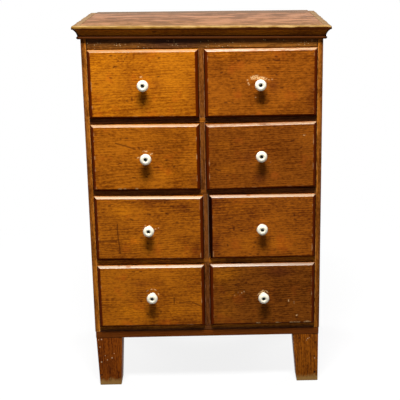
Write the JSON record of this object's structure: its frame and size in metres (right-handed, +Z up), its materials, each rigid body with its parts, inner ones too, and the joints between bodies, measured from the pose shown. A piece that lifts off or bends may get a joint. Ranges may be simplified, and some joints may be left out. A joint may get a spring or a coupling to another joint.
{
  "type": "spice cabinet",
  "caption": "Floor-standing wooden spice cabinet: sliding drawers with chamfered fronts and white porcelain knobs, a moulded cornice and tapered block feet.",
  "frame": {"origin": "on the floor, under the middle of the whole box, knobs included", "axes": "+Z up, -Y towards the drawer fronts, +X to the right as seen from the front"},
  "size_m": [0.5526, 0.384, 0.838],
  "materials": {
    "drawer_front_wood": "amber varnish over fine horizontal grain, scuffed round the knobs",
    "case_wood": "brown varnish, worn at the edges",
    "top_wood": "worn pale varnish with darker streaks",
    "cornice_wood": "dark varnish, worn bright on the upper edge",
    "foot_wood": "dark red-brown varnish, worn pale at the toes",
    "drawer_box_wood": "bare pale softwood",
    "back_wood": "bare aged softwood",
    "porcelain": "white gloss glaze",
    "bolt_steel": "dark tarnished steel"
  },
  "bodies": {
    "case": {"top_board": "top_wood", "cornice_front": "cornice_wood", "cornice_left": "cornice_wood", "cornice_right": "cornice_wood", "top_rail": "case_wood", "left_side": "case_wood", "right_side": "case_wood", "upper_divider": "case_wood", "lower_divider": "case_wood", "shelf_1": "case_wood", "shelf_2": "case_wood", "shelf_3": "case_wood", "bottom_shelf": "case_wood", "base_board": "foot_wood", "back_board_1": "back_wood", "back_board_2": "back_wood", "foot_front_left": "foot_wood", "foot_front_right": "foot_wood", "foot_back_left": "foot_wood", "foot_back_right": "foot_wood"},
    "drawer_1": {"drawer_1_front": "drawer_front_wood", "drawer_1_box": "drawer_box_wood", "drawer_1_bottom": "drawer_box_wood", "drawer_1_knob": "porcelain", "drawer_1_bolt": "bolt_steel"},
    "drawer_2": {"drawer_2_front": "drawer_front_wood", "drawer_2_box": "drawer_box_wood", "drawer_2_bottom": "drawer_box_wood", "drawer_2_knob": "porcelain", "drawer_2_bolt": "bolt_steel"},
    "drawer_3": {"drawer_3_front": "drawer_front_wood", "drawer_3_box": "drawer_box_wood", "drawer_3_bottom": "drawer_box_wood", "drawer_3_knob": "porcelain", "drawer_3_bolt": "bolt_steel"},
    "drawer_4": {"drawer_4_front": "drawer_front_wood", "drawer_4_box": "drawer_box_wood", "drawer_4_bottom": "drawer_box_wood", "drawer_4_knob": "porcelain", "drawer_4_bolt": "bolt_steel"},
    "drawer_5": {"drawer_5_front": "drawer_front_wood", "drawer_5_box": "drawer_box_wood", "drawer_5_bottom": "drawer_box_wood", "drawer_5_knob": "porcelain", "drawer_5_bolt": "bolt_steel"},
    "drawer_6": {"drawer_6_front": "drawer_front_wood", "drawer_6_box": "drawer_box_wood", "drawer_6_bottom": "drawer_box_wood", "drawer_6_knob": "porcelain", "drawer_6_bolt": "bolt_steel"},
    "drawer_7": {"drawer_7_front": "drawer_front_wood", "drawer_7_box": "drawer_box_wood", "drawer_7_bottom": "drawer_box_wood", "drawer_7_knob": "porcelain", "drawer_7_bolt": "bolt_steel"},
    "drawer_8": {"drawer_8_front": "drawer_front_wood", "drawer_8_box": "drawer_box_wood", "drawer_8_bottom": "drawer_box_wood", "drawer_8_knob": "porcelain", "drawer_8_bolt": "bolt_steel"}
  },
  "joints": [
    {"name": "drawer_1_slide", "type": "slide", "parent": "case", "child": "drawer_1", "axis": [0, -1, 0], "range_m": [0, 0.265]},
    {"name": "drawer_2_slide", "type": "slide", "parent": "case", "child": "drawer_2", "axis": [0, -1, 0], "range_m": [0, 0.265]},
    {"name": "drawer_3_slide", "type": "slide", "parent": "case", "child": "drawer_3", "axis": [0, -1, 0], "range_m": [0, 0.265]},
    {"name": "drawer_4_slide", "type": "slide", "parent": "case", "child": "drawer_4", "axis": [0, -1, 0], "range_m": [0, 0.265]},
    {"name": "drawer_5_slide", "type": "slide", "parent": "case", "child": "drawer_5", "axis": [0, -1, 0], "range_m": [0, 0.265]},
    {"name": "drawer_6_slide", "type": "slide", "parent": "case", "child": "drawer_6", "axis": [0, -1, 0], "range_m": [0, 0.265]},
    {"name": "drawer_7_slide", "type": "slide", "parent": "case", "child": "drawer_7", "axis": [0, -1, 0], "range_m": [0, 0.265]},
    {"name": "drawer_8_slide", "type": "slide", "parent": "case", "child": "drawer_8", "axis": [0, -1, 0], "range_m": [0, 0.265]}
  ]
}
